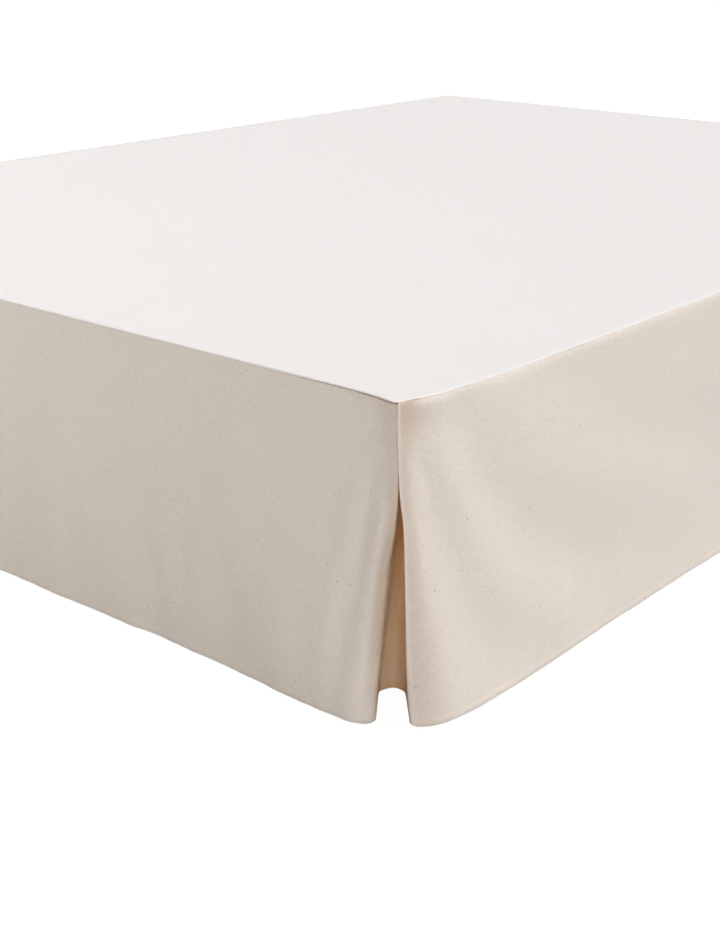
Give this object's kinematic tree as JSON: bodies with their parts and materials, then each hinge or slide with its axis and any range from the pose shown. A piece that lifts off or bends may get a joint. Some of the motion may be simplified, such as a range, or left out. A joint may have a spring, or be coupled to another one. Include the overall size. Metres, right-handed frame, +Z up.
{
  "type": "bed skirt on bed base",
  "caption": "Tailored bed skirt in natural cotton canvas: a flat platform panel and straight drops with an inverted pleat at each foot corner, hanging over a plain bed base on legs.",
  "frame": {"origin": "centre of the footprint at floor level, under the middle of the bed base", "axes": "+Z up, foot end towards -Y, head end towards +Y, the bed's right side at +X"},
  "size_m": [1.4177, 1.9124, 0.356],
  "materials": {
    "drop_canvas": "natural unbleached cotton canvas with small seed flecks, matt",
    "platform_cloth": "plain near-white cotton, matt",
    "base_cloth": "plain woven base covering, matt",
    "leg_wood": "stained wood, satin"
  },
  "bodies": {
    "root": {"platform_panel": "platform_cloth", "foot_drop": "drop_canvas", "side_drop_right": "drop_canvas", "side_drop_left": "drop_canvas", "bed_base": "base_cloth", "leg_foot_left": "leg_wood", "leg_foot_right": "leg_wood", "leg_middle_left": "leg_wood", "leg_middle_right": "leg_wood", "leg_head_left": "leg_wood", "leg_head_right": "leg_wood"}
  },
  "joints": []
}
